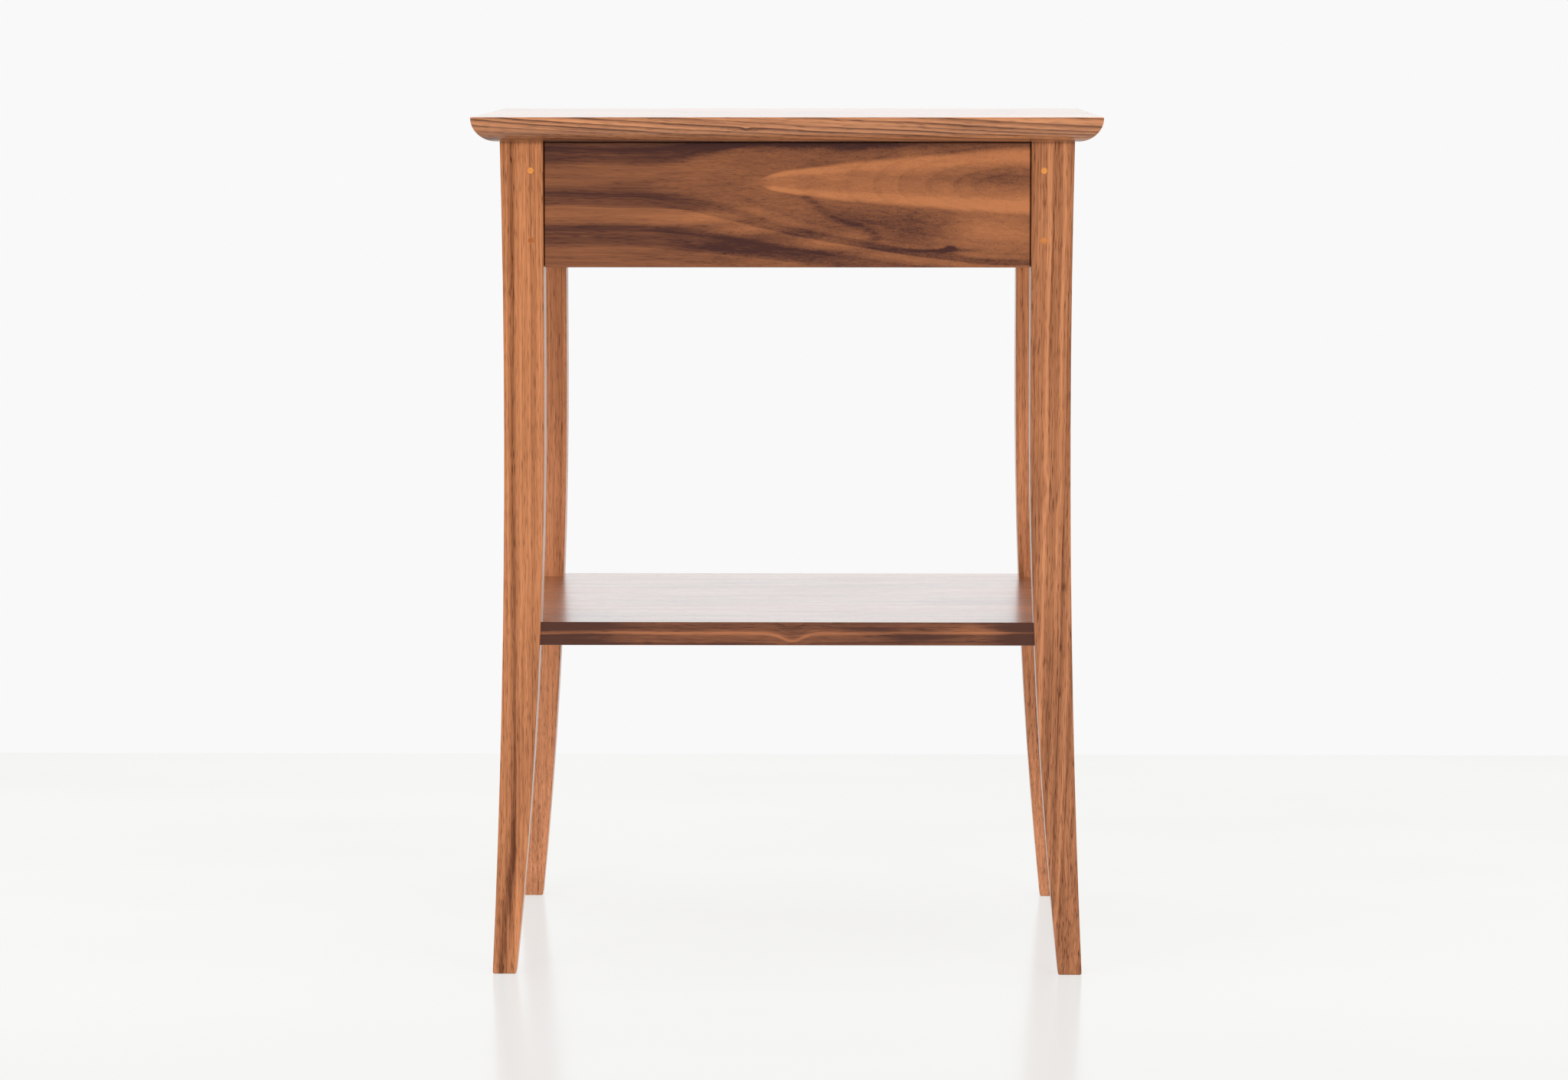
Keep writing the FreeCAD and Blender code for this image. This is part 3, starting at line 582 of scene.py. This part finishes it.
LOGS = {
    "tabletop": Log(
        (0.0, TOP_LOW.y + 0.03, 0.60), tilt=(3.4, 0.0), ring=0.0040, seed=2.0, wave=0.011,
        line=1.3, line_fade=2.0,
        streak=0.8, streak_length=0.3, edge_coat=0.35, face_depth=0.2, shine=0.4,
        stave=staves(TOP_LOW, TOP_HIGH, 1.7),
        light=(221, 151, 106), dark=(104, 66, 48), band=0.25,
        knots=[((-0.033, TOP_LOW.y, 0.689), (0.004, 0.02, 0.002), 0.0012, 1.0)],
    ),
    "shelf": Log(
        (0.0, SHELF_LOW.y + 0.02, SHELF_LOW.z - SHELF_PITH_DEPTH), ring=0.006, seed=31.0, line=0.3,
        wave=0.006, stave=staves(SHELF_LOW, SHELF_HIGH, 2.3), light=(192, 122, 82), dark=(84, 51, 37),
        edge_coat=0.3, coat_rough=0.22, shine=0.4, streak=0.4, pore=0.2,
        bands=SHELF_BANDS, band_swing=0.3, knots=SHELF_KNOTS, stains_and_shade=SHELF_STAINS,
    ),
    "drawer_front": Log(
        (0.0, FRONT_LOW.y - FRONT_PITH_OUT, FRONT_HIGH.z - TONGUE_DROP * MM), tilt=(1.5, 0.0),
        bend=(-0.14, 0.546), ring=0.0062, wave=0.008, seed=5.0, bands=FRONT_BANDS,
        light=(193, 125, 84), dark=(80, 54, 50), line=0.15,
        band_swing=0.3, cloud=0.5, streak=0.4, pore=0.15, fibre=0.35, knots=FRONT_KNOTS, stains_and_shade=FRONT_STAINS_AND_SHADE,
        tongue=(on_front(TONGUE_LEFT, TONGUE_DROP), 0.0032), coat=0.6,
    ),
    "leg_front_left": Log(
        (-0.349, -0.170, 0.0), "Z", ring=0.0034, seed=41.0, wave=0.004,
        light=(212, 141, 97), dark=(104, 62, 44), bands=LEG_LEFT, band_swing=0.3, stains_and_shade=LEFT_FOOT, **LEG,
    ),
    "leg_front_right": Log(
        (0.26, -0.22, 0.0), "Z", (0.0, 0.6), ring=0.0042, seed=47.0, wave=0.007,
        light=(212, 143, 101), dark=(100, 60, 44), bands=LEG_RIGHT, band_swing=0.3, stains_and_shade=RIGHT_FOOT,
        knots=[((0.213, -0.18, 0.397), (0.010, 0.02, 0.014), 0.002, 0.2)], **LEG,
    ),
    # The rear legs are paler and have lighter bands than the front legs: painted light that makes up for the
    # shade they stand in
    "leg_rear_left": Log(
        beside("leg_rear_left", x=0.11, y=0.03), "Z", ring=0.004, seed=53.0,
        light=(222, 150, 108), dark=(112, 72, 54), band=0.15, band_swing=0.4, **LEG,
    ),
    "leg_rear_right": Log(
        beside("leg_rear_right", x=-0.07, y=0.06), "Z", ring=0.0036, seed=59.0,
        light=(222, 150, 108), dark=(104, 66, 52), band=0.15, band_swing=0.4, **LEG,
    ),
    "front_apron": Log(
        beside("front_apron", y=0.05, z=-0.04), seed=61.0, light=(176, 112, 76), dark=(88, 56, 44),
    ),
    "back_apron": Log(
        beside("back_apron", y=-0.05, z=0.02), tilt=(1.5, -5.0), ring=0.005, wave=0.009, seed=67.0,
        light=(178, 114, 77), dark=(84, 54, 44),
    ),
    "side_apron_left": Log(
        beside("side_apron_left", x=0.045, z=-0.03), "Y", (0.0, 4.0), ring=0.0048, wave=0.009, seed=71.0,
        light=(180, 116, 78), dark=(86, 55, 44),
    ),
    "side_apron_right": Log(
        beside("side_apron_right", x=-0.04, z=0.02), "Y", (0.0, -5.0), ring=0.0052, wave=0.009, seed=79.0,
        light=(178, 113, 76), dark=(86, 55, 44),
    ),
}

MAPLE = {
    "light": (226, 196, 156),
    "dark": (176, 134, 92),
    "line": 0.3,
    "pore": 0.15,
    "band": 0.3,
    "streak": 0.4,
}
MAPLE_BOARDS = {
    "drawer_box_front": "X",
    "drawer_back": "X",
    "drawer_bottom": "X",
    "drawer_side_left": "Y",
    "drawer_side_right": "Y",
    "drawer_runner_left": "Y",
    "drawer_runner_right": "Y",
    "drawer_guide_left": "Y",
    "drawer_guide_right": "Y",
    "drawer_kicker_left": "Y",
    "drawer_kicker_right": "Y",
    "top_button_left": "Y",
    "top_button_right": "Y",
    "drawer_stop": "Z",
    "shelf_dowels": "X",
}
MAPLE_PITH = {"X": (0.0, 0.05, 0.09), "Y": (0.05, 0.0, 0.09), "Z": (0.06, 0.05, 0.0)}
for number, (name, grain) in enumerate(MAPLE_BOARDS.items()):
    pith = beside(name, *MAPLE_PITH[grain])
    LOGS[name] = Log(pith, grain, seed=100.0 + 6 * number, ring=0.004, **MAPLE)

PEG_WOOD = {
    "light": (246, 164, 84),
    "dark": (172, 98, 60),
    "line": 0.3,
    "pore": 0.2,
    "band": 0.2,
    "band_swing": 0.2,
}
PEG_GRAIN = {"pegs_front": "Y", "pegs_back": "Y", "pegs_left": "X", "pegs_right": "X"}
PEG_PITH = (0.01, 0.02, 0.5)
DULL_SIZE = (0.01, 0.03, 0.01)
DULL_PEGS = [((-0.2072, -0.181, 0.60), DULL_SIZE, 0.9), ((0.2072, -0.181, 0.60), DULL_SIZE, 0.35)]
for number, (name, grain) in enumerate(PEG_GRAIN.items()):
    LOGS[name] = Log(PEG_PITH, grain, seed=210.0 + 5 * number, ring=0.0011, stains_and_shade=DULL_PEGS, **PEG_WOOD)

for name, log in LOGS.items():
    finish(nodes[name], wood("wood_" + name, log))

# Screws

TURNING_MARKS = (900, 900, 2600)  # marks to the metre
MARK_DEPTH = 0.05 * MM
MARK_BUMP = 0.2
ZINC_PALE = linear(196, 194, 188)
ZINC_DARK = linear(150, 149, 146)


def steel():
    """Zinc-plated steel with fine turning marks."""
    material, g = new_material("screw_steel")
    marks = g.noise(g.vector("MULTIPLY", g.place(), TURNING_MARKS), 1.0)["Fac"]
    bump = g.node("ShaderNodeBump", {"Height": marks, "Strength": MARK_BUMP, "Distance": MARK_DEPTH})
    surface(
        g,
        {
            "Base Color": g.mix(marks, ZINC_PALE, ZINC_DARK),
            "Metallic": 1.0,
            "Roughness": g.remap(marks, NOISE_LOW, NOISE_HIGH, 0.28, 0.42),
            "Normal": bump.outputs[0],
        },
    )
    return material


STEEL = steel()
for name, thing in nodes.items():
    if name.endswith(("screws", "screw")):
        finish(thing, STEEL)

# Studio

FLOOR_BACK = 1.017  # how far behind the middle of the table the floor ends
FLOOR_FRONT = -6.0
FLOOR_SIDE = 5.0
FLOOR_PATCHES = (1.5, 4, 1)  # patches to the metre
FLOOR_PALE = (0.102, 0.102, 0.1, 1)
FLOOR_DARK = (0.098, 0.098, 0.096, 1)
FLOOR_GLOW = (1.0, 1.0, 0.985, 1)
GLOW_START = -0.25  # where the glow starts to fade towards the floor's back edge
GLOW_NEAR, GLOW_FAR = 0.68, 0.59

# The sky, by the way that a ray points
SKY_TURN = (-0.5, 0.3)  # it brightens from front to back between these
SKY_RISE = (0.03, 0.12)  # and upwards between these

TABLE_MIDDLE = (0.0, 0.0, 0.45)
TABLE_UPPER = (0.0, 0.0, 0.5)


def floor():
    """Pale floor that glows a little, as a floor does that fills a bright studio."""
    mesh = bpy.data.meshes.new("floor")
    corners = [
        (-FLOOR_SIDE, FLOOR_FRONT, 0),
        (FLOOR_SIDE, FLOOR_FRONT, 0),
        (FLOOR_SIDE, FLOOR_BACK, 0),
        (-FLOOR_SIDE, FLOOR_BACK, 0),
    ]
    mesh.from_pydata(corners, [], [(0, 1, 2, 3)])
    made = bpy.data.objects.new("floor", mesh)
    bpy.context.scene.collection.objects.link(made)
    material, g = new_material("floor_paint")
    place = g.place()
    patch = g.noise(g.vector("MULTIPLY", place, FLOOR_PATCHES), 0.0, 3.0)["Fac"]
    surface(
        g,
        {
            "Base Color": g.mix(patch, FLOOR_PALE, FLOOR_DARK),
            "Roughness": g.remap(patch, NOISE_LOW, NOISE_HIGH, 0.14, 0.20),
            "Specular IOR Level": 0.015,
            "Emission Color": FLOOR_GLOW,
            "Emission Strength": g.remap(g.split(place)[1], GLOW_START, FLOOR_BACK, GLOW_NEAR, GLOW_FAR),
        },
    )
    mesh.materials.append(material)


def lamp(name, size, power, place, target):
    """A soft rectangular light that faces target."""
    data = bpy.data.lights.new(name, "AREA")
    data.shape = "RECTANGLE"
    data.size, data.size_y = size
    data.energy = power
    made = bpy.data.objects.new(name, data)
    made.location = place
    made.rotation_euler = (Vector(target) - Vector(place)).to_track_quat("-Z", "Y").to_euler()
    made.visible_glossy = False
    bpy.context.scene.collection.objects.link(made)


def sky(seen, front, back, above):
    """Surroundings that look evenly white, but are darker in front of the table and brighter above it."""
    world = bpy.data.worlds.new("studio")
    world.use_nodes = True
    g = Graph(world.node_tree)
    direction = g.split(g.node("ShaderNodeTexCoord").outputs["Generated"])
    fade = g.remap(direction["Y"], *SKY_TURN, front, back)
    lift = g.remap(direction["Z"], *SKY_RISE, 1.0, above)
    direct = g.node("ShaderNodeLightPath").outputs["Is Camera Ray"]
    level = g.node("ShaderNodeMix", {"Factor": direct, "A": g.math("MULTIPLY", fade, lift), "B": seen})
    g.feed(g.tree.nodes["Background"].inputs["Color"], level.outputs[0])
    bpy.context.scene.world = world


floor()
sky(seen=0.947, front=0.34, back=0.86, above=1.54)
lamp("key", (1.8, 1.1), 70.0, (-2.6, -3.9, 1.9), TABLE_MIDDLE)
lamp("fill", (1.8, 1.1), 55.5, (2.7, -3.8, 1.9), TABLE_MIDDLE)
lamp("top", (1.8, 1.4), 10.0, (0.0, -0.6, 2.7), TABLE_UPPER)
bpy.context.scene.view_settings.view_transform = "Standard"

# Camera

CAMERA_PLACE = (0.042, -4.107, 0.7743)
CAMERA_LENS = 111.5
CAMERA_PITCH = 6.07  # degrees down
CAMERA_YAW = 0.65  # degrees to the left


def camera():
    data = bpy.data.cameras.new("camera")
    data.lens = CAMERA_LENS
    made = bpy.data.objects.new("camera", data)
    made.location = CAMERA_PLACE
    made.rotation_euler = (math.radians(90 - CAMERA_PITCH), 0, math.radians(CAMERA_YAW))
    bpy.context.scene.collection.objects.link(made)
    bpy.context.scene.camera = made


camera()

bpy.context.view_layer.update()
